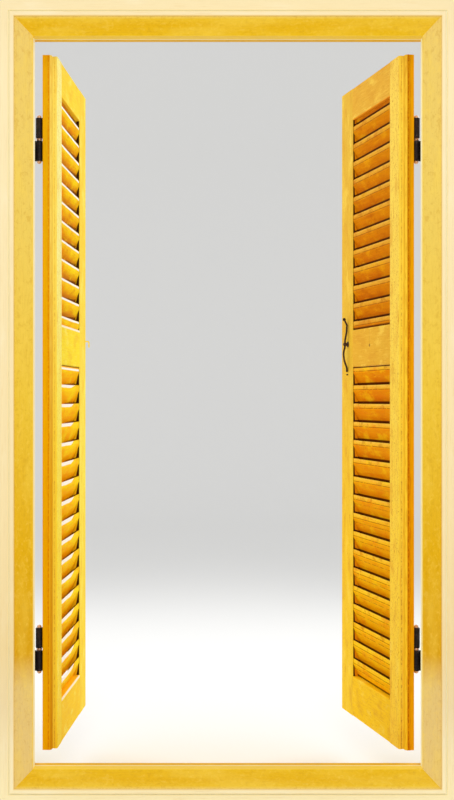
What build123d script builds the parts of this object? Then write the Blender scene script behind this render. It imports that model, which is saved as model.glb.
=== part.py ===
from build123d import *
import os
from math import asin, cos, degrees, radians, sin, tan

# Window with a pair of louvred shutters, in its own frame and casing.
# Millimetres. X runs to the right seen from the room, Y points outdoors and Z is up.
# The origin is the centre of the sill's underside, at half the depth of the frame.
# The leaves stand open to the outside. Each is modelled closed, in its own axes, with the
# hinge axis at the origin, X towards the free edge and Y outdoors, and is then swung open.

# Clear opening between the lips of the frame
opening_width = 1000.0
opening_height = 1880.0

# Frame members
frame_depth = 120.0
bevel_width = 44.0
bevel_fall = 24.0
nose_radius = 3.0
lip_depth = 60.0
lip_step = 10.0
cover_width = 26.0
member_edge_round = 2.0

# Casing boards
casing_width = 72.0
casing_thickness = 20.0
casing_proud = 2.0
casing_bead_width = 12.0
casing_bead_height = 4.0
casing_bead_round = 3.0
casing_quirk_width = 2.5
casing_quirk_depth = 2.5
casing_edge_round = 5.0

# Fixing holes through the jambs
fixing_hole_radius = 4.0
fixing_spacing = 1400.0

# Leaves
leaf_height = 1845.0
leaf_thickness = 37.0
lip_thickness = 24.0
lip_reach = 17.0
lip_chamfer = 5.0
lip_round = 3.0
inner_round = 4.0
arris = 1.5
hinge_stile_width = 88.0
meeting_stile_width = 118.0
top_rail_height = 92.0
mid_rail_height = 108.0
bottom_rail_height = 116.0
upper_noses = 12
upper_first_gap = 0.37
upper_last_gap = 0.5
lower_noses = 17
upper_bank_share = 0.4046
lap_reach = 5.5
lap_shoulder = 8.5
lap_gap = 1.0

# Tenons of the rails
tenon_thickness = 12.0
tenon_length = 45.0
tenon_shoulder = 14.0
tenon_clearance = 0.2

# Louvre slats
slat_thickness = 7.3
slat_slope = 66.0
slat_recess = 2.5
slat_easing = 1.6
slat_housing = 12.0
slat_clearance = 0.25

# Hinges
barrel_length = 54.0
barrel_radius = 9.5
barrel_easing = 1.2
pin_radius = 5.0
pin_running_clearance = 0.06
pin_seat_clearance = 0.02
ring_height = 7.0
ring_radius = 7.8
ring_easing = 1.4
ring_running_gap = 0.3
finial_height = 7.5
finial_radius = 6.2
finial_stub_length = 6.0
flap_thickness = 3.0
leaf_flap_width = 42.0
frame_flap_width = 36.0
leaf_to_frame_gap = 4.0
barrel_standoff = 1.5
lip_past_axis = 15.0
lip_overlap = 7.5
crank_clearance = 5.0
web_root = 2.0
web_reach = 5.0
flap_corner_radius = 6.0
pin_end_gap = 0.5
upper_hinge_drop = 222.0
lower_hinge_rise = 265.0
hinge_screws_across = (14.0, 32.0)
frame_screws_across = (11.0, 27.0)
hinge_screws_up = (14.0, 40.0)

# Countersunk screws
screw_radius = 2.2
screw_head_radius = 4.2
screw_length = 22.0
screw_clearance = 0.05

# Latch on the right leaf
latch_rise = 14.0
latch_setback = 60.0
latch_bar_width = 6.4
latch_bar_thickness = 5.4
latch_bar_easing = 1.5
latch_bends = [12.0, 40.0, 40.0, 40.0, 45.0, 60.0, 14.0]
latch_lean = -20.0
latch_scroll_radius = 4.8
latch_ball_radius = 3.3
boss_radius = 5.2
boss_thickness = 6.6
boss_standoff = 6.0
hook_reach = 74.0
hook_standoff = 11.5
post_radius = 2.6
post_collar_radius = 4.2
post_depth = 12.0
post_head_radius = 3.8
post_head_height = 1.8
post_head_easing = 1.0
rose_radius = 9.0
rose_thickness = 2.2
rose_easing = 1.2
latch_gap = 0.4
peg_radius = 1.8
peg_drop = 90.0
peg_length = 5.0
peg_depth = 12.0
keeper_radius = 1.9
keeper_bend = 4.0
keeper_above = 12.0
keeper_below = 6.0

# How far each leaf stands open
left_open_angle = 87.5
right_open_angle = 77.0

# How far a cut runs past the face that it opens
cut_past = 1.0

# Places that follow from the sizes above
member_width = bevel_width + cover_width
frame_front = -frame_depth / 2
frame_back = frame_depth / 2
lip_back = frame_front + lip_depth
casing_back = frame_front - casing_proud + casing_thickness
casing_front = frame_front - casing_proud
opening_centre_z = member_width + opening_height / 2
half_width = opening_width / 2
half_height = opening_height / 2
outer_face = -(barrel_radius + barrel_standoff)
lip_inner_face = outer_face - lip_thickness
inner_face = outer_face - leaf_thickness
frame_face_local = lip_inner_face - leaf_to_frame_gap
hinge_axis_y = frame_back - frame_face_local
hinge_axis_x = half_width + lip_step + lip_overlap - lip_past_axis
inner_edge = lip_reach - lip_past_axis
stile_inside = hinge_stile_width - lip_past_axis
meeting_tip = hinge_axis_x + lap_reach
meeting_root = hinge_axis_x - lap_shoulder
meeting_inside = meeting_tip - meeting_stile_width
leaf_middle_y = (outer_face + inner_face) / 2
leaf_bottom = opening_centre_z - leaf_height / 2
leaf_top = leaf_bottom + leaf_height
bank_total = leaf_height - top_rail_height - mid_rail_height - bottom_rail_height
upper_bank_height = bank_total * upper_bank_share
lower_bank_bottom = leaf_bottom + bottom_rail_height
lower_bank_top = lower_bank_bottom + bank_total - upper_bank_height
upper_bank_bottom = lower_bank_top + mid_rail_height
upper_bank_top = upper_bank_bottom + upper_bank_height
latch_height = (lower_bank_top + upper_bank_bottom) / 2 + latch_rise
nose_height = slat_thickness / cos(radians(slat_slope))
slat_run = leaf_thickness - 2 * slat_recess
slat_fall = slat_run * tan(radians(slat_slope))
upper_pitch = upper_bank_height / (upper_first_gap + upper_noses - 1 + upper_last_gap)
lower_pitch = (lower_bank_top - lower_bank_bottom) / lower_noses
hinge_heights = {
    "upper": leaf_top - upper_hinge_drop,
    "lower": leaf_bottom + lower_hinge_rise,
}
latch_x = meeting_root - latch_setback


def block(x0, x1, y0, y1, z0, z1):
    """A box between two corners."""
    centre = Pos((x0 + x1) / 2, (y0 + y1) / 2, (z0 + z1) / 2)
    return centre * Box(x1 - x0, y1 - y0, z1 - z0)


def outline(points, rounds=None):
    """A closed outline in XY, with some corners rounded: {corner number: radius}."""
    face = make_face(Polyline(*points, close=True))
    for number, radius in (rounds or {}).items():
        corner = Vector(*points[number])
        near = sorted(face.vertices(), key=lambda v: (Vector(*v) - corner).length)[0]
        face = fillet(near, radius)
    return face


def upright(face, z0, z1):
    """A section in XY carried up from z0 to z1."""
    return Pos(0, 0, z0) * extrude(face, z1 - z0, dir=(0, 0, 1))


def turned(profile, corner_rounds=None):
    """A turned piece: its half section as (radius, height) points, spun about Z."""
    face = outline(profile, corner_rounds)
    return revolve(Rot(90, 0, 0) * face, Axis.Z)


def mitred(section, across, along, reach):
    """A frame member on the left of an opening, cut at 45 degrees at both ends."""
    bar = upright(section, -along - reach, along + reach)
    wedge_points = [
        (-across - reach, -along - reach),
        (-across, -along),
        (-across, along),
        (-across - reach, along + reach),
    ]
    wedge = make_face(Polyline(*wedge_points, close=True))
    cutter = extrude(Rot(90, 0, 0) * wedge, 2 * frame_depth, both=True)
    return bar & cutter


def ring_of_four(section_at, reach):
    """The four mitred members round the opening: left, right, top and bottom."""
    centre = Pos(0, 0, opening_centre_z)
    side = mitred(section_at(half_width), half_width, half_height, reach)
    bottom_bar = mitred(section_at(half_height), half_height, half_width, reach)
    bottom = Rot(0, -90, 0) * bottom_bar
    return {
        "left": centre * side,
        "right": centre * mirror(side, about=Plane.YZ),
        "bottom": centre * bottom,
        "top": centre * mirror(bottom, about=Plane.XY),
    }


def frame_section(across):
    """Section of a frame member, from the front bevel to the outer face."""
    outer = -across - member_width
    points = [
        (outer, casing_back),
        (-across - bevel_width, casing_back),
        (-across - bevel_width, frame_front),
        (-across, frame_front + bevel_fall),
        (-across, lip_back),
        (-across - lip_step, lip_back),
        (-across - lip_step, frame_back),
        (outer, frame_back),
    ]
    return outline(points, {3: nose_radius, 6: member_edge_round})


def casing_section(across):
    """Section of a casing board: a bead, a quirk and a flat with a rounded outer edge."""
    inner = -across - bevel_width
    outer = inner - casing_width
    bead_end = inner - casing_bead_width
    quirk_end = bead_end - casing_quirk_width
    points = [
        (outer, casing_back),
        (outer, casing_front),
        (quirk_end, casing_front),
        (quirk_end, casing_front + casing_quirk_depth),
        (bead_end, casing_front + casing_quirk_depth),
        (bead_end, casing_front - casing_bead_height),
        (inner, casing_front - casing_bead_height),
        (inner, casing_back),
    ]
    return outline(points, {1: casing_edge_round, 5: casing_bead_round, 6: casing_bead_round})


def jamb_fixing_holes(side):
    """Two holes straight through a jamb, behind its lip."""
    middle_x = half_width + (lip_step + member_width) / 2
    middle_y = (lip_back + frame_back) / 2
    hole = Rot(0, 90, 0) * Cylinder(fixing_hole_radius, 2 * member_width)
    heights = [opening_centre_z + end * fixing_spacing / 2 for end in (-1, 1)]
    return [Pos(side * middle_x, middle_y, height) * hole for height in heights]


def leaf_flap_spots(height):
    """Screw places on a leaf flap: (x, z), staggered from the barrel outwards."""
    z0 = height + ring_height / 2
    near, far = hinge_screws_across
    low, high = hinge_screws_up
    return [(near, z0 + low), (far, z0 + high)]


def frame_flap_spots(height):
    """Screw places on a frame flap, staggered from the crank outwards."""
    z0 = height - ring_height / 2 - barrel_length
    near, far = frame_screws_across
    low, high = hinge_screws_up
    crank_x = -(lip_past_axis + crank_clearance)
    return [(crank_x - near, z0 + low), (crank_x - far, z0 + high)]


def screw(clearance=0.0):
    """A screw down -Z: its head is as deep as the flap, with its top at z = 0."""
    profile = [
        (0, -screw_length - clearance),
        (screw_radius + clearance, -screw_length - clearance),
        (screw_radius + clearance, -flap_thickness),
        (screw_head_radius + clearance, 0),
        (0, 0),
    ]
    return turned(profile)


def flap_screws(spots, face_y, clearance=0.0):
    """Screws, or their holes, driven into a face that looks along +Y."""
    one = Rot(-90, 0, 0) * screw(clearance)
    return [Pos(x, face_y, z) * one for x, z in spots]


def screw_pilots(spots, face_y):
    """Plain holes for the shanks, in the timber behind a flap whose face is at face_y."""
    reach = screw_length + screw_clearance
    hole = Rot(90, 0, 0) * Cylinder(screw_radius + screw_clearance, reach)
    return [Pos(x, face_y - reach / 2, z) * hole for x, z in spots]


def barrel(z0):
    """One barrel of a hinge, standing on z0, with its end edges eased."""
    profile = [(0, 0), (barrel_radius, 0), (barrel_radius, barrel_length), (0, barrel_length)]
    face = make_face(Polyline(*profile, close=True))
    ends = [v for v in face.vertices() if v.X > barrel_radius / 2]
    face = chamfer(ends, barrel_easing, 2 * barrel_easing)
    return Pos(0, 0, z0) * revolve(Rot(90, 0, 0) * face, Axis.Z)


def leaf_flap(height):
    """The leaf's half of a hinge: the upper barrel and a flap on the leaf's outer face."""
    z0 = height + ring_height / 2
    z1 = z0 + barrel_length
    flap = block(-web_root, leaf_flap_width, outer_face, outer_face + flap_thickness, z0, z1)
    far_corners = [e for e in flap.edges().filter_by(Axis.Y) if e.center().X > 0]
    flap = fillet(far_corners, flap_corner_radius)
    web = block(-web_root, web_reach, outer_face + flap_thickness, -web_root, z0, z1)
    piece = flap + web + barrel(z0)
    piece -= Pos(0, 0, (z0 + z1) / 2) * Cylinder(pin_radius + pin_running_clearance, barrel_length)
    return piece - flap_screws(leaf_flap_spots(height), outer_face + flap_thickness, screw_clearance)


def frame_flap(height):
    """The frame's half: the lower barrel, cranked past the leaf's lip to the outer face."""
    z1 = height - ring_height / 2
    z0 = z1 - barrel_length
    wall_x = -(lip_past_axis + crank_clearance)
    face_top = frame_face_local + flap_thickness
    web = block(wall_x - flap_thickness, -web_root, -flap_thickness / 2, flap_thickness / 2, z0, z1)
    wall = block(wall_x - flap_thickness, wall_x, frame_face_local, flap_thickness / 2, z0, z1)
    flap = block(wall_x - frame_flap_width, wall_x, frame_face_local, face_top, z0, z1)
    far_corners = [e for e in flap.edges().filter_by(Axis.Y) if e.center().X < wall_x - web_reach]
    flap = fillet(far_corners, flap_corner_radius)
    piece = web + wall + flap + barrel(z0)
    piece -= Pos(0, 0, (z0 + z1) / 2) * Cylinder(pin_radius + pin_seat_clearance, barrel_length)
    return piece - flap_screws(frame_flap_spots(height), face_top, screw_clearance)


def hinge_pin(height):
    """The pin, from just above the lower finial's stub to just below the upper one's."""
    reach = ring_height / 2 + barrel_length - finial_stub_length - pin_end_gap
    profile = [(0, -reach), (pin_radius, -reach), (pin_radius, reach), (0, reach)]
    return Pos(0, 0, height) * turned(profile)


def hinge_ring(height):
    """The copper ring on the pin between the two barrels."""
    bore = pin_radius + pin_running_clearance
    low = -ring_height / 2
    high = ring_height / 2 - ring_running_gap
    profile = [
        (bore, low),
        (ring_radius - ring_easing, low),
        (ring_radius, (low + high) / 2),
        (ring_radius - ring_easing, high),
        (bore, high),
    ]
    return Pos(0, 0, height) * turned(profile)


def finial(z, up, bore_radius):
    """A domed copper cap with a stub in the barrel's bore; up is 1 at the top, -1 below."""
    stub = bore_radius - pin_seat_clearance
    ball_centre = finial_height - finial_radius
    first_angle = degrees(asin(-ball_centre / finial_radius))
    ball = CenterArc((0, ball_centre), finial_radius, first_angle, 90 - first_angle)
    below = Polyline(
        (0, finial_height),
        (0, -finial_stub_length),
        (stub, -finial_stub_length),
        (stub, 0),
        (finial_radius * cos(radians(first_angle)), 0),
    )
    piece = revolve(Rot(90, 0, 0) * make_face([below, ball]), Axis.Z)
    if up < 0:
        piece = mirror(piece, about=Plane.XY)
    return Pos(0, 0, z) * piece


def slat_section(clearance=0.0):
    """Section of a slat that slopes down to the outside, with upright edges; its nose's
    top is at height 0 and (depth, height) is counted from the middle of the leaf."""
    half_run = slat_run / 2 + clearance
    fall = 2 * half_run * tan(radians(slat_slope))
    edge = (slat_thickness + 2 * clearance) / cos(radians(slat_slope))
    top = (fall - slat_fall + edge - nose_height) / 2
    points = [
        (-half_run, top),
        (-half_run, top - edge),
        (half_run, top - fall - edge),
        (half_run, top - fall),
    ]
    return make_face(Polyline(*points, close=True))


def across_leaf(section, x0, x1, z):
    """A slat or its housing, from its section, with the top of its nose at z."""
    standing = Plane(origin=(x0, leaf_middle_y, z), x_dir=(0, 1, 0), z_dir=(1, 0, 0))
    return extrude(standing * section, x1 - x0, dir=(1, 0, 0))


def slat_banks():
    """For each bank: its bottom, its top, and the heights of the noses' tops.
    The upper bank starts with a slat whose nose is trimmed away under the top rail."""
    first = upper_bank_top - upper_first_gap * upper_pitch
    upper = [first - upper_pitch * number for number in range(-1, upper_noses)]
    lower = [lower_bank_top - lower_pitch * number for number in range(lower_noses)]
    return {
        "upper": (upper_bank_bottom, upper_bank_top, upper),
        "lower": (lower_bank_bottom, lower_bank_top, lower),
    }


def in_bank(section, x0, x1, bank, clearance):
    """Slats or housings of one bank; those at its ends are trimmed to the rails."""
    bottom, top, heights = bank
    opening = block(x0 - cut_past, x1 + cut_past, inner_face, outer_face, bottom + clearance, top - clearance)
    bars = []
    for z in heights:
        bar = across_leaf(section, x0, x1, z)
        if z > top - clearance or z - slat_fall - nose_height < bottom + clearance:
            bar = bar & opening
        bars.append(bar)
    return bars


def slat_bank(bank):
    """All slats of one bank, as separate pieces of one group."""
    x0 = stile_inside - slat_housing + slat_clearance
    x1 = meeting_inside + slat_housing - slat_clearance
    eased = chamfer(slat_section().vertices(), slat_easing)
    return Compound([solid for bar in in_bank(eased, x0, x1, bank, slat_clearance) for solid in bar.solids()])


def rail_spans():
    """Bottom and top of each rail."""
    return {
        "bottom_rail": (leaf_bottom, lower_bank_bottom),
        "mid_rail": (lower_bank_top, upper_bank_bottom),
        "top_rail": (upper_bank_top, leaf_top),
    }


def tenon(x0, x1, z0, z1, clearance=0.0):
    """A tenon or its mortise, in the middle of the leaf's thickness."""
    half = tenon_thickness / 2 + clearance
    return block(x0, x1, leaf_middle_y - half, leaf_middle_y + half,
                 z0 + tenon_shoulder - clearance, z1 - tenon_shoulder + clearance)


def rail(z0, z1):
    """A rail with a tenon at each end."""
    body = block(stile_inside, meeting_inside, inner_face, outer_face, z0, z1)
    edges = [e for e in body.edges().filter_by(Axis.X)]
    body = chamfer(edges, arris)
    reach = tenon_length - tenon_clearance
    return body + tenon(stile_inside - reach, meeting_inside + reach, z0, z1)


def stile(section, tenon_span, slat_span):
    """A stile from its section, with the mortises and the slat housings cut in it."""
    cuts = [tenon(*tenon_span, z0, z1, tenon_clearance) for z0, z1 in rail_spans().values()]
    for bank in slat_banks().values():
        cuts += in_bank(slat_section(slat_clearance), *slat_span, bank, 0)
    return upright(section, leaf_bottom, leaf_top) - cuts


def hinge_stile():
    """The stile at the hinges: its outer layer is a lip that laps over the frame."""
    points = [
        (-lip_past_axis, outer_face),
        (-lip_past_axis, lip_inner_face + lip_chamfer),
        (-lip_past_axis + lip_chamfer, lip_inner_face),
        (inner_edge, lip_inner_face),
        (inner_edge, inner_face),
        (stile_inside, inner_face),
        (stile_inside, outer_face),
    ]
    section = outline(points, {0: lip_round, 4: inner_round, 5: arris, 6: arris})
    tenon_span = (stile_inside - tenon_length, stile_inside + cut_past)
    slat_span = (stile_inside - slat_housing, stile_inside + cut_past)
    body = stile(section, tenon_span, slat_span)
    for height in hinge_heights.values():
        body -= screw_pilots(leaf_flap_spots(height), outer_face + flap_thickness)
    return body


def meeting_stile(lap_outside):
    """The stile at the free edge, half lapped: the right leaf laps over the outside."""
    split = leaf_middle_y
    if lap_outside:
        points = [
            (meeting_inside, outer_face),
            (meeting_inside, inner_face),
            (meeting_root, inner_face),
            (meeting_root, split + lap_gap / 2),
            (meeting_tip, split + lap_gap / 2),
            (meeting_tip, outer_face),
        ]
    else:
        points = [
            (meeting_inside, inner_face),
            (meeting_inside, outer_face),
            (meeting_root, outer_face),
            (meeting_root, split - lap_gap / 2),
            (meeting_tip, split - lap_gap / 2),
            (meeting_tip, inner_face),
        ]
    section = outline(points, {0: arris, 1: arris, 2: lip_round, 4: arris, 5: lip_round})
    tenon_span = (meeting_inside - cut_past, meeting_inside + tenon_length)
    slat_span = (meeting_inside - cut_past, meeting_inside + slat_housing)
    return stile(section, tenon_span, slat_span)


def latch_route():
    """The lever's bar beside its post: (stand-off from the face, height above the post)."""
    middle = boss_standoff + boss_thickness / 2
    scroll = [(11.5, 74.0), (4.2, 58.0)]
    stem = [(5.0, 36.0), (middle, 12.0), (middle, -8.0)]
    tail = [(14.0, -25.0), (11.5, -48.0), (4.2, -70.0), (4.2, -79.0)]
    return scroll + stem + tail


def latch_plane():
    """The plane of the lever's curve: it stands off the face and leans along it."""
    lean = radians(latch_lean)
    middle = boss_standoff + boss_thickness / 2
    origin = (latch_x + middle * tan(lean), inner_face, latch_height)
    return Plane(origin=origin, x_dir=(-sin(lean), -cos(lean), 0), z_dir=(-cos(lean), sin(lean), 0))


def latch_lever():
    """The forged lever: an S-curved bar, a scroll ball, a boss and a tail with a ball end."""
    lean = radians(latch_lean)
    plane = latch_plane()
    route = [(off / cos(lean), up) for off, up in latch_route()]
    path = FilletPolyline(*[plane.from_local_coords((a, b, 0)) for a, b in route], radius=latch_bends)
    start = Plane(origin=path @ 0, x_dir=plane.z_dir, z_dir=path % 0)
    flat = Rectangle(latch_bar_width, latch_bar_thickness)
    bar = sweep(start * chamfer(flat.vertices(), latch_bar_easing), path=path)
    top = plane.from_local_coords((route[0][0], route[0][1], 0))
    end = plane.from_local_coords((route[-1][0], route[-1][1], 0))
    lever = bar + Pos(*top) * Sphere(latch_scroll_radius) + Pos(*end) * Sphere(latch_ball_radius)
    boss_y = inner_face - boss_standoff - boss_thickness / 2
    boss = Pos(latch_x, boss_y, latch_height) * Rot(90, 0, 0) * Cylinder(boss_radius, boss_thickness)
    lever += boss
    bore = Pos(latch_x, boss_y, latch_height) * Rot(90, 0, 0)
    lever -= bore * Cylinder(post_radius + pin_running_clearance, 4 * boss_thickness)
    return lever


def latch_post():
    """The post that the lever turns on, with the rose on the face of the stile."""
    rose_top = rose_thickness
    boss_top = boss_standoff + boss_thickness + latch_gap
    profile = [
        (0, -post_depth),
        (post_radius, -post_depth),
        (post_radius, 0),
        (rose_radius, 0),
        (rose_radius - rose_easing, rose_top),
        (post_collar_radius, rose_top),
        (post_collar_radius, boss_standoff - latch_gap),
        (post_radius, boss_standoff - latch_gap),
        (post_radius, boss_top),
        (post_head_radius, boss_top),
        (post_head_radius - post_head_easing, boss_top + post_head_height),
        (0, boss_top + post_head_height),
    ]
    piece = turned(profile)
    return Pos(latch_x, inner_face, latch_height) * Rot(90, 0, 0) * piece


def stop_peg():
    """The small peg under the tail."""
    profile = [
        (0, -peg_depth),
        (peg_radius, -peg_depth),
        (peg_radius, peg_length),
        (0, peg_length),
    ]
    return Pos(latch_x, inner_face, latch_height - peg_drop) * Rot(90, 0, 0) * turned(profile)


def latch_holes():
    """Holes in the right meeting stile for the post and the peg."""
    post = Pos(latch_x, inner_face, latch_height) * Rot(90, 0, 0)
    peg = Pos(latch_x, inner_face, latch_height - peg_drop) * Rot(90, 0, 0)
    clearance = pin_seat_clearance
    return [
        post * Cylinder(post_radius + clearance, 2 * (post_depth + clearance)),
        peg * Cylinder(peg_radius + clearance, 2 * (peg_depth + clearance)),
    ]


def keeper_place():
    """The keeper pin's place on the left leaf, in that leaf's own axes."""
    past_centre = hook_reach - (hinge_axis_x - latch_x)
    return hinge_axis_x - past_centre, inner_face - hook_standoff, latch_height


def keeper_pin():
    """A bent pin on the left leaf that the tail swings up behind."""
    x, y, z = keeper_place()
    top = z + keeper_above
    route = [(x, inner_face + peg_depth, top), (x, y, top), (x, y, z - keeper_below)]
    path = FilletPolyline(*route, radius=keeper_bend)
    start = Plane(origin=path @ 0, z_dir=path % 0)
    return sweep(start * Circle(keeper_radius), path=path)


def keeper_hole():
    """The hole for the keeper pin in the left meeting stile."""
    x, y, z = keeper_place()
    hole = Pos(x, inner_face, z + keeper_above) * Rot(90, 0, 0)
    return hole * Cylinder(keeper_radius + pin_seat_clearance, 2 * (peg_depth + pin_seat_clearance))


def leaf_parts(lap_outside):
    """Timber of one leaf, closed, in the leaf's own axes."""
    parts = {"hinge_stile": hinge_stile(), "meeting_stile": meeting_stile(lap_outside)}
    for name, (z0, z1) in rail_spans().items():
        parts[name] = rail(z0, z1)
    for name, bank in slat_banks().items():
        parts[name + "_slats"] = slat_bank(bank)
    return parts


def hinge_parts():
    """Moving and fixed pieces of both hinges of one leaf, in the leaf's own axes."""
    heights = list(hinge_heights.values())
    tops = [height + ring_height / 2 + barrel_length for height in heights]
    feet = [height - ring_height / 2 - barrel_length for height in heights]
    leaf_face = outer_face + flap_thickness
    frame_face = frame_face_local + flap_thickness
    running_bore = pin_radius + pin_running_clearance
    seat_bore = pin_radius + pin_seat_clearance
    moving = {
        "leaf_flaps": Compound([leaf_flap(z) for z in heights]),
        "top_finials": Compound([finial(z, 1, running_bore) for z in tops]),
        "leaf_screws": Compound([s for z in heights for s in flap_screws(leaf_flap_spots(z), leaf_face)]),
    }
    fixed = {
        "frame_flaps": Compound([frame_flap(z) for z in heights]),
        "hinge_pins": Compound([hinge_pin(z) for z in heights]),
        "hinge_rings": Compound([hinge_ring(z) for z in heights]),
        "bottom_finials": Compound([finial(z, -1, seat_bore) for z in feet]),
        "frame_screws": Compound([s for z in heights for s in flap_screws(frame_flap_spots(z), frame_face)]),
    }
    return moving, fixed


def place_left(shape, angle):
    """From the left leaf's own axes to the window's, swung open by an angle."""
    return Pos(-hinge_axis_x, hinge_axis_y, 0) * Rot(0, 0, angle) * shape


def place_right(shape, angle):
    """The same for the right leaf, which is the left one mirrored."""
    swung = Rot(0, 0, -angle) * mirror(shape, about=Plane.YZ)
    return Pos(hinge_axis_x, hinge_axis_y, 0) * swung


def frame_parts():
    """The four frame members, bored for their fixings and for the hinge screws."""
    members = ring_of_four(frame_section, member_width)
    left, right = members["left"], members["right"]
    for height in hinge_heights.values():
        for hole in screw_pilots(frame_flap_spots(height), frame_face_local + flap_thickness):
            left -= place_left(hole, 0)
            right -= place_right(hole, 0)
    left -= jamb_fixing_holes(-1)
    right -= jamb_fixing_holes(1)
    return {
        "frame_left_jamb": left,
        "frame_right_jamb": right,
        "frame_sill": members["bottom"],
        "frame_head": members["top"],
    }


def casing_parts():
    """The four casing boards."""
    boards = ring_of_four(casing_section, bevel_width + casing_width)
    return {"casing_" + name: board for name, board in boards.items()}


def leaf_side(side, place, angle, lap_outside):
    """Everything that belongs to one leaf and its hinges, by node name."""
    nodes = {}
    moving, fixed = hinge_parts()
    timber = leaf_parts(lap_outside)
    if side == "right":
        timber["meeting_stile"] -= latch_holes()
        moving["latch_post"] = latch_post()
        moving["latch_peg"] = stop_peg()
        moving["latch_lever"] = latch_lever()
    else:
        timber["meeting_stile"] -= keeper_hole()
        moving["latch_keeper"] = keeper_pin()
    for name, shape in {**timber, **moving}.items():
        nodes[f"{side}_{name}"] = place(shape, angle)
    for name, shape in fixed.items():
        nodes[f"{side}_{name}"] = place(shape, 0)
    return nodes


def main():
    """Build every node and write it."""
    nodes = {}
    nodes.update(frame_parts())
    nodes.update(casing_parts())
    nodes.update(leaf_side("left", place_left, left_open_angle, False))
    nodes.update(leaf_side("right", place_right, right_open_angle, True))
    os.makedirs("parts", exist_ok=True)
    for name, shape in nodes.items():
        export_step(shape, f"parts/{name}.step")


main()
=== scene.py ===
from math import cos, pi, radians, sin, tan

import bmesh
import bpy
from mathutils import Matrix, Vector


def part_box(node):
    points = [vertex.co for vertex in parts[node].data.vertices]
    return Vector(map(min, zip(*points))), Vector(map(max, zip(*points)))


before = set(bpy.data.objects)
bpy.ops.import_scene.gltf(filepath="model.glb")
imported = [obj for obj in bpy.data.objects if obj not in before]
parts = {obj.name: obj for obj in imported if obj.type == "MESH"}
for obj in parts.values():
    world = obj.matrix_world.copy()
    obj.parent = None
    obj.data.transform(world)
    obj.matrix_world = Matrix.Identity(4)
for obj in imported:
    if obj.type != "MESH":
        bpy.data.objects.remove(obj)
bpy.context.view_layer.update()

# Sizes that the finishes follow, in metres
half_width, half_height, opening_middle = 0.5, 0.94, 1.01
bevel_width, bead_width, quirk_width = 0.044, 0.012, 0.0025
quirk_mouth = -0.0615
hinge_axis = {"left": Vector((-0.5025, 0.099, 0)), "right": Vector((0.5025, 0.099, 0))}
open_angle = {"left": radians(87.5), "right": radians(-77)}
meeting_inside = 0.390
slat_room_face, slat_outer_edge = -0.0455, -0.0135
slat_slope = radians(66)
slat_gap, nose_height = 0.034, 0.018
upper_first_gap, upper_noses, upper_last_gap = 0.37, 12, 0.5
lower_noses = 17

# Heights, foot and head, between which the runs of paint lie
frame_heights, casing_heights, leaf_heights = (0.03, 1.99), (-0.04, 2.06), (0.0, 2.0)

# The hinge stile's edge: how far across it lies, and the depths where its step, its corner and
# its paler back begin
edge_across = 0.0030
step_ends, corner_ends, back_begins = -0.0355, -0.0310, -0.0200

# The painted shade inside the slots lies deeper towards the foot: the height at which it lies
# as deep as the slope alone gives, and the change of the slope for each metre above that
slot_shade_level = 1.0165
slot_shade_rise = {"left": 1.5625, "right": 0.804}

# Lines on the slats' noses, as drops below a nose's top
white_top = {"upper": 0.0074, "lower": 0.0122}
nose_line, second_line, line_half, line_soft = 0.0138, 0.0262, 0.0008, 0.0007

knot_across, knot_height = 0.240, 1.172
wood_ior = 1.45
warm_gloss = (1.0, 0.82, 0.42, 1.0)


def srgb(red, green, blue):
    """A paint as it is read off a colour card, 0 to 255, for a shader's linear socket."""
    channels = [c / 255 for c in (red, green, blue)]
    return tuple(c / 12.92 if c <= 0.04045 else ((c + 0.055) / 1.055) ** 2.4 for c in channels) + (1.0,)


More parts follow.
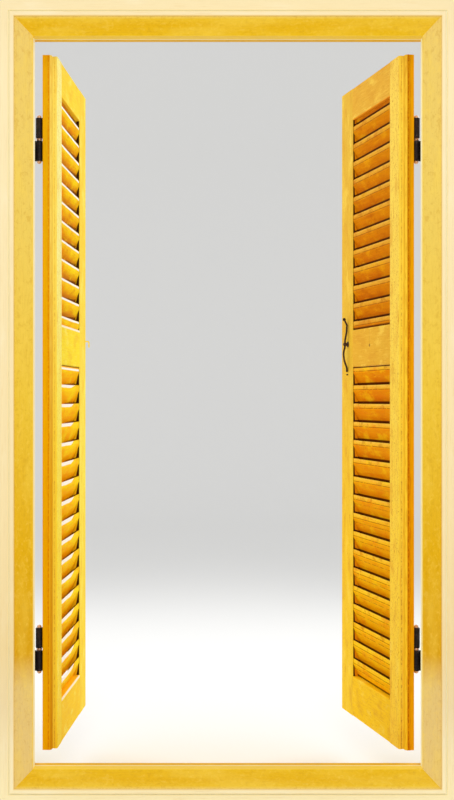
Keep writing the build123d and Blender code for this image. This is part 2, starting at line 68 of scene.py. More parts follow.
class Finish:
    """One procedural material, built up node by node."""

    def __init__(self, name):
        self.material = bpy.data.materials.new(name)
        self.material.use_nodes = True
        self.tree = self.material.node_tree
        self.shader = self.tree.nodes["Principled BSDF"]

    def node(self, kind, **settings):
        made = self.tree.nodes.new(kind)
        for name, value in settings.items():
            setattr(made, name, value)
        return made

    def feed(self, socket, value):
        """Links another node's output to a socket, or sets the socket to a constant."""
        if isinstance(value, bpy.types.NodeSocket):
            self.tree.links.new(value, socket)
        else:
            socket.default_value = value

    def reckon(self, operation, *values):
        made = self.node("ShaderNodeMath", operation=operation)
        for socket, value in zip(made.inputs, values):
            self.feed(socket, value)
        return made.outputs[0]

    def times(self, value, other):
        return self.reckon("MULTIPLY", value, other)

    def plus(self, value, other):
        return self.reckon("ADD", value, other)

    def minus(self, value, other):
        return self.reckon("SUBTRACT", value, other)

    def off(self, value, middle):
        """How far a value is from a middle one, either way."""
        return self.reckon("ABSOLUTE", self.minus(value, middle))

    def step(self, value, low, high):
        """0 up to low, 1 from high on, and a smooth change between; low may be above high."""
        made = self.node("ShaderNodeMapRange", interpolation_type="SMOOTHSTEP")
        for name, number in zip(("Value", "From Min", "From Max"), (value, low, high)):
            self.feed(made.inputs[name], number)
        return made.outputs["Result"]

    def band(self, value, middle, half, soft):
        """1 within a band about a middle value, and 0 outside it."""
        return self.step(self.off(value, middle), half + soft, half - soft)

    def scale(self, value, low, high, to_low, to_high):
        """A value carried from one range to another, and held at its ends."""
        made = self.node("ShaderNodeMapRange")
        for name, number in zip(("Value", "From Min", "From Max", "To Min", "To Max"),
                                (value, low, high, to_low, to_high)):
            self.feed(made.inputs[name], number)
        return made.outputs["Result"]

    def point(self, x, y, z):
        made = self.node("ShaderNodeCombineXYZ")
        for socket, value in zip(made.inputs, (x, y, z)):
            self.feed(socket, value)
        return made.outputs[0]

    def drawn(self, share, along, over, depth):
        """A place for a pattern drawn out along a piece: the smaller the share, the longer."""
        return self.point(self.times(along, share), over, depth)

    def mottle(self, point, scale, detail=3.0, roughness=0.55, distortion=0.0):
        made = self.node("ShaderNodeTexNoise")
        self.feed(made.inputs["Vector"], point)
        made.inputs["Scale"].default_value = scale
        made.inputs["Detail"].default_value = detail
        made.inputs["Roughness"].default_value = roughness
        made.inputs["Distortion"].default_value = distortion
        return made.outputs["Fac"]

    def mix(self, share, under, over):
        made = self.node("ShaderNodeMix", data_type="RGBA")
        for place, value in ((0, share), (6, under), (7, over)):
            self.feed(made.inputs[place], value)
        return made.outputs[2]

    def brush(self, under, colour, where, strength=1.0):
        """One colour brushed over a coat, where a share says and at most at a strength."""
        share = where if strength == 1.0 else self.times(where, strength)
        return self.mix(share, under, srgb(*colour))

    def shades(self, value, low, high, stops):
        """A run of paints along a value from low to high: (place, colour) pairs, 0 to 1."""
        made = self.node("ShaderNodeValToRGB")
        run = made.color_ramp
        while len(run.elements) < len(stops):
            run.elements.new(0.5)
        for element, (place, colour) in zip(run.elements, stops):
            element.position = place
            element.color = srgb(*colour)
        self.feed(made.inputs[0], self.scale(value, low, high, 0.0, 1.0))
        return made.outputs[0]

    def dent(self, height, depth, distance=0.001):
        """Turns a height into relief; depth is the share of the full relief."""
        made = self.node("ShaderNodeBump")
        made.inputs["Strength"].default_value = depth
        made.inputs["Distance"].default_value = distance
        self.feed(made.inputs["Height"], height)
        self.feed(self.shader.inputs["Normal"], made.outputs[0])

    def set(self, **sockets):
        for name, value in sockets.items():
            self.feed(self.shader.inputs[name.replace("_", " ")], value)

    def frame_place(self):
        """Across, depth and height in the window's own axes."""
        split = self.node("ShaderNodeSeparateXYZ")
        self.feed(split.inputs[0], self.node("ShaderNodeTexCoord").outputs["Object"])
        return split.outputs

    def leaf_place(self, side):
        """Across from the hinge axis, depth and height in a leaf's own axes, as if closed."""
        mirror = -1.0 if side == "right" else 1.0
        turn = -open_angle["left"] if side == "left" else open_angle["right"]
        axis = hinge_axis[side]
        start = Matrix.Rotation(turn, 3, "Z") @ Vector((mirror * axis.x, axis.y, 0))
        mapping = self.node("ShaderNodeMapping")
        mapping.inputs["Scale"].default_value = (mirror, 1.0, 1.0)
        mapping.inputs["Rotation"].default_value = (0.0, 0.0, turn)
        mapping.inputs["Location"].default_value = -start
        self.feed(mapping.inputs["Vector"], self.node("ShaderNodeTexCoord").outputs["Object"])
        split = self.node("ShaderNodeSeparateXYZ")
        self.feed(split.inputs[0], mapping.outputs[0])
        return split.outputs


# Paints of the frame and the casing. The sideways members' gold runs out from the opening,
# and the other two run from the foot to the head
sideways_gold = [
    (0.0, (236, 188, 16)), (0.55, (232, 181, 10)), (0.86, (237, 193, 40)), (1.0, (241, 210, 108)),
]
upright_gold = [
    (0.0, (234, 203, 128)), (0.128, (231, 199, 122)), (0.172, (219, 162, 2)), (0.31, (229, 177, 4)),
    (0.51, (238, 198, 56)), (0.72, (239, 206, 92)), (1.0, (238, 206, 112)),
]
casing_cream = [
    (0.0, (255, 240, 190)), (0.05, (250, 232, 182)), (0.13, (239, 217, 168)), (0.2, (240, 214, 156)),
    (0.36, (246, 223, 169)), (0.9, (250, 231, 183)), (1.0, (246, 225, 174)),
]


def member_place(finish, sideways):
    """A member's own run, the distance out from the opening, the depth and the height."""
    x, y, z = finish.frame_place()
    if sideways:
        return x, finish.minus(finish.off(z, opening_middle), half_height), y, z
    return z, finish.minus(finish.reckon("ABSOLUTE", x), half_width), y, z


def frame_paint(name, sideways):
    """The gold of one frame member; its brush strokes run along the member."""
    gold = Finish(name)
    along, from_edge, depth, height = member_place(gold, sideways)
    strokes = gold.mottle(gold.drawn(0.05, along, from_edge, depth), 480, detail=5, roughness=0.6)
    wash = gold.mottle(gold.drawn(0.3, along, from_edge, depth), 22, detail=4)
    speck = gold.mottle(gold.point(along, from_edge, depth), 260, detail=3, roughness=0.7)
    blotch = gold.mottle(gold.drawn(0.7, along, from_edge, depth), 95, detail=6, roughness=0.72,
                         distortion=0.6)
    if sideways:
        coat = gold.shades(from_edge, 0.0, bevel_width, sideways_gold)
    else:
        coat = gold.shades(height, *frame_heights, upright_gold)
    coat = gold.brush(coat, (196, 138, 16), gold.step(strokes, 0.48, 0.74), 0.26)
    coat = gold.brush(coat, (204, 148, 20), gold.step(blotch, 0.47, 0.36), 0.30)
    coat = gold.brush(coat, (250, 214, 92), gold.step(blotch, 0.50, 0.66), 0.30)
    coat = gold.brush(coat, (252, 218, 84), gold.step(wash, 0.46, 0.74), 0.30)
    coat = gold.brush(coat, (176, 118, 14), gold.step(speck, 0.62, 0.74), 0.25)
    # the reveal is painted lighter, to offset the shade in it, with a painted highlight line at the back of
    # it that is wider on the jambs
    coat = gold.brush(coat, (255, 224, 84), gold.step(from_edge, 0.0012, 0.0006), 0.7)
    if sideways:
        line = gold.times(gold.step(from_edge, 0.0016, 0.0008), gold.step(depth, -0.0075, -0.0045))
        coat = gold.brush(coat, (255, 250, 206), line, 0.8)
    else:
        line = gold.times(gold.step(from_edge, 0.0014, 0.0006), gold.step(depth, -0.031, -0.023))
        coat = gold.brush(coat, (255, 250, 206), line)
    # worn back to a darker coat along the bevel's outer arris
    at_arris = gold.step(from_edge, bevel_width - 0.0022, bevel_width - 0.0004)
    coat = gold.brush(coat, (190, 140, 50), gold.times(at_arris, gold.step(speck, 0.42, 0.62)), 0.35)
    gold.set(Base_Color=coat, Roughness=0.5, IOR=wood_ior, Specular_IOR_Level=0.14)
    gold.dent(gold.plus(strokes, gold.times(wash, 0.6)), 0.22)
    return gold.material


def casing_paint(name, sideways):
    """The cream of one casing board, brushed along it, with a pale line in its quirk, painted light to
    offset the shade there.
    """
    cream = Finish(name)
    along, from_edge, depth, height = member_place(cream, sideways)
    strokes = cream.mottle(cream.drawn(0.035, along, from_edge, depth), 400, detail=5, roughness=0.62)
    wash = cream.mottle(cream.drawn(0.3, along, from_edge, depth), 16, detail=4)
    coat = cream.shades(height, *casing_heights, casing_cream)
    coat = cream.brush(coat, (226, 186, 108), cream.step(strokes, 0.5, 0.76), 0.3)
    coat = cream.brush(coat, (255, 246, 216), cream.step(wash, 0.5, 0.78), 0.4)
    off_quirk = cream.off(from_edge, bevel_width + bead_width + quirk_width / 2)
    coat = cream.brush(coat, (250, 228, 150), cream.step(off_quirk, 0.0042, 0.0012), 0.5)
    # the quirk is painted near white, as painted light against its shade
    in_quirk = cream.times(cream.step(off_quirk, quirk_width / 2 + 0.0003, quirk_width / 2 - 0.0004),
                           cream.step(depth, quirk_mouth - 0.0003, quirk_mouth + 0.0003))
    coat = cream.brush(coat, (255, 252, 226), in_quirk)
    beside_bevel = cream.step(from_edge, bevel_width + 0.0032, bevel_width + 0.0006)
    coat = cream.brush(coat, (244, 208, 112), beside_bevel, 0.55)
    cream.set(Base_Color=coat, Roughness=0.58, IOR=wood_ior, Specular_IOR_Level=0.2)
    cream.dent(strokes, 0.2)
    return cream.material


# Paints of the two leaves, from the foot (0) to the head (1). The left one is the lighter, as painted
# light; each edge's orange is painted shade
leaf_paints = {
    "left": {
        "hinge_stile": [(0.0, (252, 222, 46)), (0.28, (253, 234, 62)), (0.52, (254, 247, 106)),
                        (0.72, (254, 255, 166)), (1.0, (254, 254, 160))],
        "meeting_stile": [(0.0, (250, 214, 40)), (0.16, (251, 224, 56)), (0.40, (250, 236, 84)),
                          (0.75, (249, 218, 62)), (1.0, (249, 214, 54))],
        "rail": [(0.0, (250, 208, 14)), (0.14, (251, 212, 18)), (0.54, (252, 232, 34)),
                 (1.0, (253, 220, 50))],
        "edge": [(0.0, (240, 174, 2)), (0.5, (240, 178, 4)), (0.75, (232, 180, 16)),
                 (1.0, (232, 182, 20))],
        "corner": [(0.0, (206, 138, 12)), (0.40, (226, 166, 26)), (0.75, (252, 222, 96)),
                   (1.0, (252, 226, 104))],
        "step": [(0.0, (248, 208, 52)), (0.45, (250, 218, 64)), (0.75, (250, 228, 104)),
                 (1.0, (250, 230, 110))],
        "streak": (242, 194, 40), "glow": (255, 246, 120), "speck": (224, 160, 36),
        "edge_streak": (224, 160, 4), "edge_shadow_line": (212, 112, 6), "edge_back": (238, 178, 4),
        "step_shadow_line": (212, 150, 44), "rail_shade": (255, 208, 44),
    },
    "right": {
        "hinge_stile": [(0.0, (255, 214, 56)), (0.3, (255, 220, 68)), (0.7, (254, 224, 90)),
                        (1.0, (254, 224, 94))],
        "meeting_stile": [(0.0, (251, 212, 40)), (0.3, (249, 208, 42)), (0.55, (238, 196, 54)),
                          (0.8, (232, 188, 54)), (1.0, (234, 190, 58))],
        "rail": [(0.0, (252, 208, 14)), (0.14, (251, 206, 16)), (0.54, (232, 181, 50)),
                 (1.0, (234, 181, 54))],
        "edge": [(0.0, (234, 162, 2)), (0.4, (230, 160, 2)), (0.8, (216, 160, 12)),
                 (1.0, (220, 162, 14))],
        "corner": [(0.0, (252, 206, 40)), (0.5, (255, 214, 56)), (1.0, (250, 208, 64))],
        "step": [(0.0, (246, 208, 62)), (0.5, (250, 218, 70)), (1.0, (252, 226, 84))],
        "streak": (222, 156, 36), "glow": (255, 226, 92), "speck": (186, 104, 12),
        "edge_streak": (200, 116, 4), "edge_shadow_line": (166, 70, 6), "edge_back": (248, 180, 4),
        "step_shadow_line": (170, 108, 40), "rail_shade": (250, 164, 34),
    },
}


def bank_places(side, bank):
    """The height of a bank's first nose, and the pitch of its slats."""
    bottom_rail, mid_rail, top_rail = (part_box(f"{side}_{rail}_rail") for rail in ("bottom", "mid", "top"))
    if bank == "upper":
        top, bottom = top_rail[0].z, mid_rail[1].z
        pitch = (top - bottom) / (upper_first_gap + upper_noses - 1 + upper_last_gap)
        return top - upper_first_gap * pitch, pitch
    top, bottom = mid_rail[0].z, bottom_rail[1].z
    return top, (top - bottom) / lower_noses


def weathered(finish, coat, paint, grain_at, patch_at, age=0.5):
    """Grain, pale patches and fine specks over a coat, stronger with age (0 to 1). Gives the
    new coat and the grain."""
    grain = finish.mottle(grain_at, 330, detail=6, roughness=0.62, distortion=0.5)
    hair = finish.mottle(grain_at, 900, detail=3, roughness=0.6)
    patch = finish.mottle(patch_at, 24, detail=5, roughness=0.6)
    fleck = finish.mottle(patch_at, 320, detail=4, roughness=0.8)
    coat = finish.brush(coat, paint["streak"], finish.step(grain, 0.50, 0.72), 0.3 + 0.4 * age)
    coat = finish.brush(coat, paint["streak"], finish.step(hair, 0.54, 0.70), 0.28)
    coat = finish.brush(coat, paint["streak"], finish.step(patch, 0.47, 0.33), 0.45)
    coat = finish.brush(coat, paint["glow"], finish.step(patch, 0.52, 0.68), 0.55)
    coat = finish.brush(coat, paint["glow"], finish.step(grain, 0.46, 0.30), 0.4)
    flecked = finish.step(fleck, 0.62 - 0.06 * age, 0.70 - 0.06 * age)
    coat = finish.brush(coat, paint["speck"], flecked, 0.4 + 0.4 * age)
    return coat, grain


def leaf_paint(name, side, piece):
    """The yellow of a stile or a rail; its grain runs along the piece."""
    yellow = Finish(name)
    paint = leaf_paints[side]
    across, depth, height = yellow.leaf_place(side)
    along, over = (across, height) if piece == "rail" else (height, across)
    grain_at = yellow.drawn(0.045, along, over, depth)
    patch_at = yellow.drawn(0.45, along, over, depth)
    body = yellow.shades(height, *leaf_heights, paint[piece])
    age = 1.0 if piece == "hinge_stile" else 0.6
    coat, grain = weathered(yellow, body, paint, grain_at, patch_at, age)
    if piece == "hinge_stile":
        coat = stepped_edge(yellow, paint, across, depth, height, grain, coat)
    elif piece == "meeting_stile":
        coat = wall_shade(yellow, side, across, depth, height, coat)
    else:
        coat = rail_edges(yellow, side, depth, height, coat)
        if side == "right":
            coat = knotted(yellow, across, height, coat)
    yellow.set(Base_Color=coat, Roughness=0.55, IOR=wood_ior, Specular_IOR_Level=0.03,
               Specular_Tint=warm_gloss)
    yellow.dent(yellow.plus(grain, yellow.times(yellow.mottle(patch_at, 60), 0.5)), 0.3)
    return yellow.material


def stepped_edge(yellow, paint, across, depth, height, grain, coat):
    """The hinge stile's edge: a step with a painted shadow line, a corner, an orange edge painted
    darker as shade, with a painted shadow line along it, and a paler back."""
    on_edge = yellow.step(across, edge_across + 0.0004, edge_across - 0.0004)
    drift = yellow.mottle(yellow.point(0.0, 0.0, height), 7, detail=3)
    broken = yellow.mottle(yellow.point(across, depth, yellow.times(height, 0.5)), 260, detail=4,
                           roughness=0.75)
    tone = yellow.mottle(yellow.point(across, depth, yellow.times(height, 0.12)), 210, detail=4,
                         roughness=0.65)

    # the edge's orange is painted shade, and its broken dark line is a painted shadow line
    edge = yellow.shades(height, *leaf_heights, paint["edge"])
    edge = yellow.brush(edge, paint["edge_streak"], yellow.step(tone, 0.42, 0.66), 0.65)
    line_depth = yellow.plus(-0.0272, yellow.times(yellow.minus(drift, 0.5), 0.006))
    line = yellow.times(yellow.band(depth, line_depth, 0.0019, 0.0013), yellow.step(broken, 0.36, 0.60))
    edge = yellow.brush(edge, paint["edge_shadow_line"], line, 0.72)
    at_back = yellow.step(depth, back_begins - 0.0025, back_begins + 0.0025)
    edge = yellow.brush(edge, paint["edge_back"], at_back, 0.55)
    past_corner = yellow.step(depth, corner_ends - 0.0008, corner_ends + 0.0008)
    coat = yellow.mix(yellow.times(on_edge, past_corner), coat, edge)

    corner = yellow.shades(height, *leaf_heights, paint["corner"])
    corner = yellow.brush(corner, paint["edge_streak"], yellow.step(tone, 0.44, 0.66), 0.4)
    on_corner = yellow.times(yellow.step(depth, step_ends - 0.0007, step_ends + 0.0007),
                             yellow.step(depth, corner_ends + 0.0008, corner_ends - 0.0008))
    coat = yellow.mix(yellow.times(on_edge, on_corner), coat, corner)

    stepped = yellow.shades(height, *leaf_heights, paint["step"])
    stepped = yellow.brush(stepped, paint["streak"], yellow.step(grain, 0.46, 0.68), 0.5)
    # a painted shadow line along the middle of the step
    step_shadow_line = yellow.times(yellow.band(depth, -0.0405, 0.0016, 0.0012), yellow.step(broken, 0.42, 0.62))
    step_shadow_line = yellow.times(step_shadow_line, yellow.scale(height, 0.6, 1.5, 0.75, 0.4))
    stepped = yellow.brush(stepped, paint["step_shadow_line"], step_shadow_line)
    on_step = yellow.step(depth, step_ends + 0.0007, step_ends - 0.0007)
    return yellow.mix(yellow.times(on_edge, on_step), coat, stepped)


def rail_edges(yellow, side, depth, height, coat):
    """The shaded underside of the top rail, and on the left leaf the lit top edges."""
    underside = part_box(f"{side}_top_rail")[0].z
    shaded = yellow.times(yellow.step(height, underside + 0.0018, underside + 0.0012),
                          yellow.step(height, underside - 0.03, underside - 0.02))
    coat = yellow.brush(coat, leaf_paints[side]["rail_shade"], shaded)
    if side == "left":
        for rail in ("bottom", "mid"):
            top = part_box(f"left_{rail}_rail")[1].z
            ledge = yellow.times(yellow.band(height, top, 0.0006, 0.0002),
                                 yellow.step(depth, -0.0462, -0.0456))
            coat = yellow.brush(coat, (255, 200, 30), ledge)
            lit = yellow.times(yellow.step(height, top - 0.0070, top - 0.0054),
                               yellow.step(depth, -0.0454, -0.0460))
            lit = yellow.times(lit, yellow.reckon("LESS_THAN", height, top + 0.001))
            coat = yellow.brush(coat, (255, 250, 230), lit, 0.9)
    return coat


def wall_shade(yellow, side, across, depth, height, coat):
    """Paints shade on a stile's wall between two slats, just inside the room face."""
    inward = yellow.minus(depth, slat_room_face)
    wall = yellow.step(yellow.off(across, meeting_inside), 0.0009, 0.0004)
    inside = yellow.times(yellow.step(inward, -0.0015, 0.0002),
                          yellow.step(depth, slat_outer_edge + 0.0010, slat_outer_edge - 0.0010))
    upper_first, upper_pitch = bank_places(side, "upper")
    lower_first, lower_pitch = bank_places(side, "lower")
    is_lower = yellow.reckon("LESS_THAN", height, lower_first + 0.02)
    first = yellow.scale(is_lower, 0.0, 1.0, upper_first, lower_first)
    pitch = yellow.scale(is_lower, 0.0, 1.0, upper_pitch, lower_pitch)
    # how far down from one nose (0) to the next (1) a point of the wall lies
    lift = yellow.times(yellow.times(yellow.minus(height, slot_shade_level), slot_shade_rise[side]), inward)
    down = yellow.reckon("DIVIDE", yellow.minus(first, yellow.minus(height, lift)), pitch)
    down = yellow.reckon("FRACT", down)
    widest, narrowest = {"left": (0.0084, 0.0006), "right": (0.0046, 0.0028)}[side]
    reach = yellow.scale(down, 0.30, 0.92, narrowest, widest)
    # painted shade on the wall, reaching further in lower down each gap and along its foot
    in_shade = yellow.step(yellow.minus(inward, reach), 0.0010, -0.0010)
    foot = {"left": (0.93, 0.97), "right": (0.90, 0.93)}[side]
    in_shade = yellow.reckon("MAXIMUM", in_shade, yellow.step(down, *foot))
    unshaded = {"left": (255, 206, 24), "right": (236, 150, 6)}[side]
    wall_coat = yellow.brush(srgb(*unshaded), (62, 32, 16), in_shade)
    return yellow.mix(yellow.times(wall, inside), coat, wall_coat)


def knotted(yellow, across, height, coat):
    """A small knot in the mid rail, with a fine check running up from it."""
    off_x = yellow.minus(across, knot_across)
    off_z = yellow.minus(height, knot_height)
    reach = yellow.reckon("SQRT", yellow.plus(yellow.reckon("POWER", off_x, 2.0),
                                              yellow.times(yellow.reckon("POWER", off_z, 2.0), 2.2)))
    check = yellow.times(yellow.step(yellow.reckon("ABSOLUTE", off_x), 0.0018, 0.0005),
                         yellow.band(off_z, 0.022, 0.022, 0.001))
    coat = yellow.brush(coat, (186, 118, 34), check, 0.4)
    return yellow.brush(coat, (142, 82, 26), yellow.step(reach, 0.0090, 0.0030), 0.8)


# Paints of the slats, from the top of a nose (0) to where the next slat hides the face (1); their
# darkening down the underside is painted shade, "gap" is the painted shade deep in a slot and "top" a
# painted highlight. "high" is for the head of the bank and "low" for its foot
slat_paints = {
    ("left", "upper"): {
        "high": [(0.0, (252, 218, 30)), (0.42, (250, 212, 14)), (0.62, (242, 186, 10)),
                 (0.76, (226, 154, 16)), (0.95, (196, 120, 20))],
        "low": [(0.0, (252, 218, 30)), (0.46, (250, 210, 12)), (0.66, (240, 182, 8)),
                (0.80, (226, 152, 14)), (0.95, (200, 124, 18))],
        "glow": (255, 230, 30), "streak": (222, 138, 6), "speck": (170, 94, 12),
        "hinge_end": (244, 134, 6), "gap": (92, 44, 14), "top": (255, 255, 248),
    },
    ("left", "lower"): {
        "high": [(0.0, (255, 228, 44)), (0.36, (255, 218, 10)), (0.58, (255, 204, 2)),
                 (0.80, (255, 186, 2)), (0.97, (252, 170, 2))],
        "low": [(0.0, (255, 232, 54)), (0.34, (255, 222, 20)), (0.56, (255, 208, 2)),
                (0.80, (255, 192, 2)), (0.97, (255, 180, 2))],
        "glow": (255, 236, 30), "streak": (255, 160, 2), "speck": (214, 124, 8),
        "hinge_end": (255, 158, 2), "gap": (92, 42, 8), "top": (255, 255, 250),
    },
    ("right", "upper"): {
        "high": [(0.0, (244, 198, 92)), (0.10, (238, 184, 66)), (0.24, (226, 164, 40)),
                 (0.30, (214, 134, 2)), (0.60, (222, 134, 2)), (0.84, (210, 118, 2))],
        "low": [(0.0, (244, 198, 92)), (0.10, (236, 182, 64)), (0.24, (224, 160, 38)),
                (0.30, (214, 128, 2)), (0.60, (220, 126, 2)), (0.84, (212, 112, 2))],
        "glow": (240, 176, 12), "streak": (196, 100, 2), "speck": (140, 72, 10),
        "hinge_end": (234, 156, 4), "gap": (66, 34, 14),
    },
    ("right", "lower"): {
        "high": [(0.0, (250, 208, 96)), (0.10, (246, 198, 74)), (0.24, (236, 176, 34)),
                 (0.31, (232, 140, 2)), (0.60, (232, 132, 2)), (0.84, (222, 116, 2))],
        "low": [(0.0, (255, 222, 66)), (0.10, (255, 216, 44)), (0.24, (255, 208, 22)),
                (0.31, (255, 198, 6)), (0.60, (255, 198, 2)), (0.84, (255, 184, 2))],
        "glow": (255, 214, 16), "streak": (236, 128, 2), "speck": (150, 76, 6),
        "hinge_end": (252, 180, 2), "gap": (62, 24, 6),
    },
}
# How strongly a slat is painted redder towards its hinge end, as shade, and how dark the painted shade at
# the far end of its slot is
hinge_end_strength = {"left": 0.8, "right": 0.3}
slot_strength = {"left": 0.72, "right": 0.92}


def slat_paint(name, side, bank):
    """The yellow of the slats, told apart by where a point is on its own slat."""
    yellow = Finish(name)
    paint = slat_paints[side, bank]
    plain = leaf_paints[side]
    across, depth, height = yellow.leaf_place(side)
    first, pitch = bank_places(side, bank)
    inward = yellow.minus(depth, slat_room_face)
    # the slat's number in its bank, and the drop below its upper side
    margin = 0.004
    flattened = yellow.plus(height, yellow.times(inward, tan(slat_slope)))
    below_first = yellow.minus(first + margin, flattened)
    number = yellow.reckon("FLOOR", yellow.reckon("DIVIDE", below_first, pitch))
    below_top = yellow.minus(yellow.minus(below_first, yellow.times(number, pitch)), margin)
    # the run of paint: down the nose, then in along the underside
    share = slot_share(yellow, side, height, inward)
    on_nose = yellow.step(inward, 0.0020, 0.0010)
    on_underside = yellow.minus(1.0, on_nose)
    underside_drop = yellow.plus(nose_height, yellow.times(share, slat_gap))
    drop = yellow.plus(yellow.times(on_nose, below_top), yellow.times(on_underside, underside_drop))
    noses = {"lower": lower_noses, "upper": upper_noses}[bank]
    body = yellow.mix(yellow.step(height, first, first - noses * pitch),
                      yellow.shades(drop, 0.0, nose_height + slat_gap, paint["high"]),
                      yellow.shades(drop, 0.0, nose_height + slat_gap, paint["low"]))
    # each slat is its own piece of wood, with its own grain and tone
    own = yellow.times(number, 0.37)
    grain_at = yellow.drawn(0.05, across, yellow.plus(flattened, own), depth)
    patch_at = yellow.drawn(0.5, across, yellow.plus(height, own), depth)
    tone_at = yellow.point(yellow.times(across, 5.0), yellow.times(number, 1.7), 0.0)
    tone = yellow.mottle(tone_at, 1.0, detail=2)
    body = yellow.brush(body, paint["hinge_end"], yellow.step(tone, 0.42, 0.66), 0.35)
    coat, grain = weathered(yellow, body, paint, grain_at, patch_at)
    # painted shade: the slats redden towards their hinge end
    hinge_end = yellow.times(yellow.step(across, 0.190, 0.080), hinge_end_strength[side])
    coat = yellow.brush(coat, paint["hinge_end"], yellow.times(hinge_end, yellow.step(drop, 0.010, 0.030)))
    if side == "right":
        coat = scribed(yellow, bank, drop, across, height, coat)
    else:
        coat = white_topped(yellow, bank, drop, across, height, grain, coat)
    # painted shade deep in each slot
    dark = slot_dark(yellow, side, bank, across, height, share)
    coat = yellow.brush(coat, paint["gap"], dark, slot_strength[side])
    coat = bank_ends(yellow, side, bank, height, coat)
    # on its upper side and its outer edge, a slat has the plain paint of its leaf
    faces_room = yellow.reckon("MAXIMUM", on_nose, yellow.step(below_top, 0.0060, 0.0100))
    before_edge = yellow.step(depth, slat_outer_edge - 0.0006, slat_outer_edge - 0.0014)
    faces_room = yellow.times(faces_room, before_edge)
    outer = yellow.shades(height, *leaf_heights, plain["meeting_stile"])
    outer = yellow.brush(outer, plain["streak"], yellow.step(grain, 0.48, 0.76), 0.5)
    near = yellow.minus(1.0, yellow.step(share, 1.3, 1.6))
    coat = yellow.mix(yellow.times(faces_room, near), outer, coat)
    yellow.set(Base_Color=coat, Roughness=0.55, IOR=wood_ior, Specular_IOR_Level=0.006,
               Specular_Tint=warm_gloss)
    yellow.dent(grain, 0.3)
    return yellow.material


def slot_share(yellow, side, height, inward):
    """How far in a point of an underside lies, as a share of the depth where the painted shade ends."""
    rise = yellow.times(yellow.minus(height, slot_shade_level), slot_shade_rise[side])
    full_depth = yellow.reckon("DIVIDE", slat_gap, yellow.plus(tan(slat_slope), rise))
    return yellow.reckon("DIVIDE", inward, full_depth)


def slot_dark(yellow, side, bank, across, height, share):
    """The painted shade deep in a slot. On the left leaf it is ragged, and only near the free end."""
    ends = yellow.step(share, 1.75, 1.35)
    if side == "right":
        return yellow.times(yellow.step(share, 0.84, 0.91), ends)
    ragged = yellow.mottle(yellow.point(across, 0.0, yellow.times(height, 0.4)), 170, detail=3,
                           roughness=0.7)
    at_free_end = {"upper": 0.78, "lower": 0.90}[bank]
    begins = yellow.plus(yellow.scale(across, 0.16, 0.385, 1.06, at_free_end),
                         yellow.scale(ragged, 0.3, 0.7, -0.10, 0.10))
    begun = yellow.step(yellow.minus(share, begins), -0.04, 0.05)
    return yellow.times(begun, yellow.times(yellow.step(across, 0.18, 0.26), ends))


def scribed(yellow, bank, drop, across, height, coat):
    """The thin brown line under a nose, and a second one further down in the lower bank."""
    worn = yellow.mottle(yellow.point(across, 0.0, height), 55, detail=4, roughness=0.7)
    smudge = yellow.mottle(yellow.point(yellow.times(across, 0.6), 0.3, height), 30, detail=4,
                           roughness=0.65)
    smudged = yellow.times(yellow.step(smudge, 0.50, 0.66), yellow.step(drop, 0.016, 0.012))
    coat = yellow.brush(coat, (190, 116, 20), smudged, 0.55)
    line = yellow.times(yellow.band(drop, nose_line, line_half, line_soft), yellow.step(worn, 0.34, 0.5))
    coat = yellow.brush(coat, (138, 70, 10), line, 0.85)
    if bank == "lower":
        fading = yellow.times(yellow.step(worn, 0.40, 0.56), yellow.step(height, 0.86, 0.62))
        again = yellow.times(yellow.band(drop, second_line, line_half, line_soft), fading)
        coat = yellow.brush(coat, (150, 76, 8), again, 0.75)
    return coat


def white_topped(yellow, bank, drop, across, height, grain, coat):
    """The lit white top of a left slat's nose; low down it stops short of the free end."""
    rough_edge = yellow.times(yellow.minus(grain, 0.5), 0.006)
    reach = yellow.plus(white_top[bank], rough_edge)
    if bank == "lower":
        free_end = yellow.times(yellow.step(across, 0.235, 0.345), yellow.step(height, 1.13, 0.99))
        reach = yellow.minus(reach, yellow.times(free_end, 0.018))
        reach = yellow.minus(reach, yellow.scale(height, 0.75, 1.05, 0.0, 0.0030))
    white = yellow.step(yellow.minus(drop, reach), 0.0009, -0.0009)
    return yellow.brush(coat, slat_paints["left", bank]["top"], white)


def bank_ends(yellow, side, bank, height, coat):
    """Painted shade where a right bank's lowest slat meets its rail and where the lower bank begins,
    and on the left three bands on the lower bank's first slat: a painted shadow under the mid rail, an
    orange line and a painted highlight."""
    first = bank_places(side, bank)[0]
    if side == "right":
        gap = slat_paints[side, bank]["gap"]
        rail = {"upper": "mid", "lower": "bottom"}[bank]
        rail_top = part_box(f"right_{rail}_rail")[1].z
        # painted shade just above the rail, and under the mid rail
        coat = yellow.brush(coat, gap, yellow.step(height, rail_top + 0.0078, rail_top + 0.0040), 0.85)
        if bank == "lower":
            coat = yellow.brush(coat, gap, yellow.step(height, first - 0.0052, first - 0.0036))
    elif bank == "lower":
        # from the top: a painted shadow under the rail, an orange line, and a painted highlight
        for below, colour in ((0.0130, (255, 255, 248)), (0.0072, (255, 190, 24)), (0.0040, (140, 92, 24))):
            banded = yellow.step(height, first - below - 0.0006, first - below + 0.0006)
            coat = yellow.brush(coat, colour, banded)
    return coat


# Old iron, dark, rusty and rubbed bare: nearly black on the hinges, browner on the latch
irons = {
    "hinge_iron": ((30, 27, 29), (58, 48, 50), (84, 78, 78)),
    "latch_iron": ((44, 29, 21), (92, 56, 32), (120, 90, 66)),
}


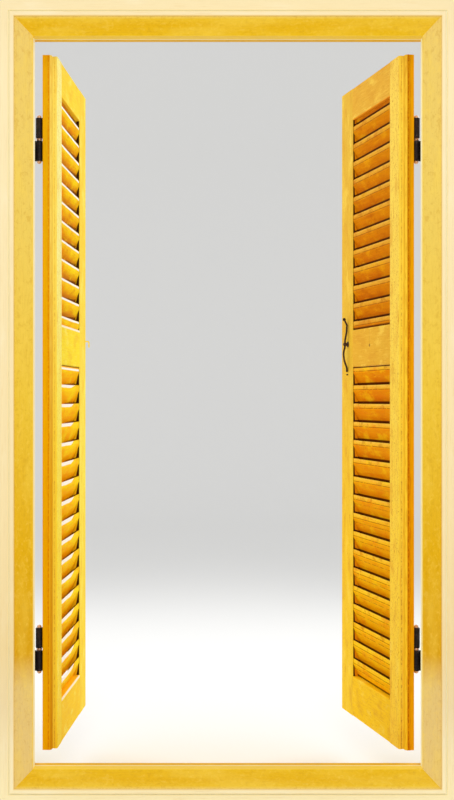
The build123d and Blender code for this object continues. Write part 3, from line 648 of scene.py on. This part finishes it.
def worn_iron(name):
    """Iron with rust in patches, rubbed bare here and there."""
    dark, rusty, bare = irons[name]
    iron = Finish(name)
    where = iron.point(*iron.frame_place())
    rust = iron.mottle(where, 160, detail=5, roughness=0.7)
    rub = iron.mottle(where, 45, detail=3)
    coat = iron.brush(srgb(*dark), rusty, iron.step(rust, 0.42, 0.7))
    coat = iron.brush(coat, bare, iron.step(rub, 0.5, 0.75), 0.6)
    iron.set(Base_Color=coat, Metallic=0.35, Roughness=iron.scale(rust, 0.3, 0.8, 0.48, 0.72),
             Specular_IOR_Level=0.25)
    iron.dent(rust, 0.5)
    return iron.material


def dull_copper(name):
    """Pale copper of the rings and finials, dulled in patches."""
    copper = Finish(name)
    tarnish = copper.mottle(copper.point(*copper.frame_place()), 210, detail=4, roughness=0.6)
    coat = copper.brush(srgb(232, 192, 164), (164, 118, 90), copper.step(tarnish, 0.4, 0.7))
    copper.set(Base_Color=coat, Metallic=0.7, Roughness=copper.scale(tarnish, 0.3, 0.8, 0.3, 0.55))
    copper.dent(tarnish, 0.3)
    return copper.material


def cover(node, material):
    """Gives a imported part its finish."""
    for holder in parts[node].material_slots:
        holder.material = material


def dress_window():
    gold = {False: frame_paint("frame_gold_upright", False), True: frame_paint("frame_gold_sideways", True)}
    cream = {False: casing_paint("casing_cream_upright", False),
             True: casing_paint("casing_cream_sideways", True)}
    for member in ("left_jamb", "right_jamb", "head", "sill"):
        cover(f"frame_{member}", gold[member in ("head", "sill")])
    for board in ("left", "right", "top", "bottom"):
        cover(f"casing_{board}", cream[board in ("top", "bottom")])
    iron = worn_iron("hinge_iron")
    copper = dull_copper("dull_copper")
    for side in ("left", "right"):
        rail_yellow = leaf_paint(f"{side}_rail_yellow", side, "rail")
        for rail in ("bottom", "mid", "top"):
            cover(f"{side}_{rail}_rail", rail_yellow)
        for stile in ("hinge_stile", "meeting_stile"):
            cover(f"{side}_{stile}", leaf_paint(f"{side}_{stile}_yellow", side, stile))
        for bank in ("upper", "lower"):
            cover(f"{side}_{bank}_slats", slat_paint(f"{side}_{bank}_slat_yellow", side, bank))
        for piece in ("leaf_flaps", "frame_flaps", "hinge_pins", "leaf_screws", "frame_screws"):
            cover(f"{side}_{piece}", iron)
        for piece in ("hinge_rings", "top_finials", "bottom_finials"):
            cover(f"{side}_{piece}", copper)
    handled = worn_iron("latch_iron")
    for piece in ("lever", "post", "peg"):
        cover(f"right_latch_{piece}", handled)
    # the keeper is painted over with its stile
    cover("left_latch_keeper", bpy.data.materials["left_meeting_stile_yellow"])


# Studio: a pale floor that curves up into the backdrop
floor_level = -0.0465
floor_front, floor_back, floor_half_width = -12.0, 12.0, 14.0
backdrop_height, cove_radius, cove_steps = 9.0, 4.0, 24
world_strength = 0.78
# Each lamp's place, what it faces, its width and height, and its power in watts
lamps = {
    "window_key": ((0.0, -4.6, 2.6), (0.0, 0.1, 1.0), (1.6, 3.0), 62),
    "outdoor_left": ((-1.9, 2.1, 2.3), (0.35, 0.3, 1.0), (2.0, 2.6), 30),
    "outdoor_right": ((1.9, 2.1, 2.3), (-0.42, 0.3, 1.0), (2.0, 2.6), 38),
}
camera_place = (-0.002, -3.447, 1.0165)
focal_px, frame_height_px, sensor_mm = 1330.0, 800.0, 36.0


def pale_ground():
    """The matt paint of the floor and the backdrop."""
    ground = Finish("pale_ground")
    ground.set(Base_Color=(0.86, 0.86, 0.85, 1.0), Roughness=0.9, Specular_IOR_Level=0.1)
    return ground.material


def build_stage():
    """One sheet: level floor, a quarter-round cove and an upright backdrop."""
    sheet = bmesh.new()
    cove_start = floor_back - cove_radius
    profile = [(floor_front, floor_level), (cove_start, floor_level)]
    for step in range(1, cove_steps + 1):
        turn = pi / 2 * step / cove_steps
        profile.append((cove_start + cove_radius * sin(turn), floor_level + cove_radius * (1 - cos(turn))))
    profile.append((floor_back, backdrop_height))
    points = [sheet.verts.new((-floor_half_width, y, z)) for y, z in profile]
    edges = [sheet.edges.new(pair) for pair in zip(points, points[1:])]
    swept = bmesh.ops.extrude_edge_only(sheet, edges=edges)
    moved = [v for v in swept["geom"] if isinstance(v, bmesh.types.BMVert)]
    bmesh.ops.translate(sheet, verts=moved, vec=(2 * floor_half_width, 0, 0))
    bmesh.ops.recalc_face_normals(sheet, faces=sheet.faces)
    mesh = bpy.data.meshes.new("stage_floor")
    sheet.to_mesh(mesh)
    sheet.free()
    for face in mesh.polygons:
        face.use_smooth = True
    mesh.materials.append(pale_ground())
    stage = bpy.data.objects.new("stage_floor", mesh)
    bpy.context.scene.collection.objects.link(stage)


def light_studio():
    world = bpy.data.worlds.new("studio")
    bpy.context.scene.world = world
    world.use_nodes = True
    background = world.node_tree.nodes["Background"]
    background.inputs["Color"].default_value = (1.0, 1.0, 1.0, 1.0)
    background.inputs["Strength"].default_value = world_strength
    for name, (place, faces, size, power) in lamps.items():
        lamp = bpy.data.lights.new(name, "AREA")
        lamp.shape = "RECTANGLE"
        lamp.size, lamp.size_y = size
        lamp.energy = power
        box = bpy.data.objects.new(name, lamp)
        bpy.context.scene.collection.objects.link(box)
        box.location = place
        box.rotation_euler = (Vector(faces) - Vector(place)).to_track_quat("-Z", "Y").to_euler()


def set_camera():
    lens = bpy.data.cameras.new("photo_view")
    lens.sensor_width = sensor_mm
    lens.sensor_fit = "AUTO"
    lens.lens = sensor_mm * focal_px / frame_height_px
    view = bpy.data.objects.new("photo_view", lens)
    bpy.context.scene.collection.objects.link(view)
    view.location = camera_place
    view.rotation_euler = (pi / 2, 0, 0)
    bpy.context.scene.camera = view


bpy.context.scene.view_settings.view_transform = "Standard"
set_camera()
dress_window()
build_stage()
light_studio()
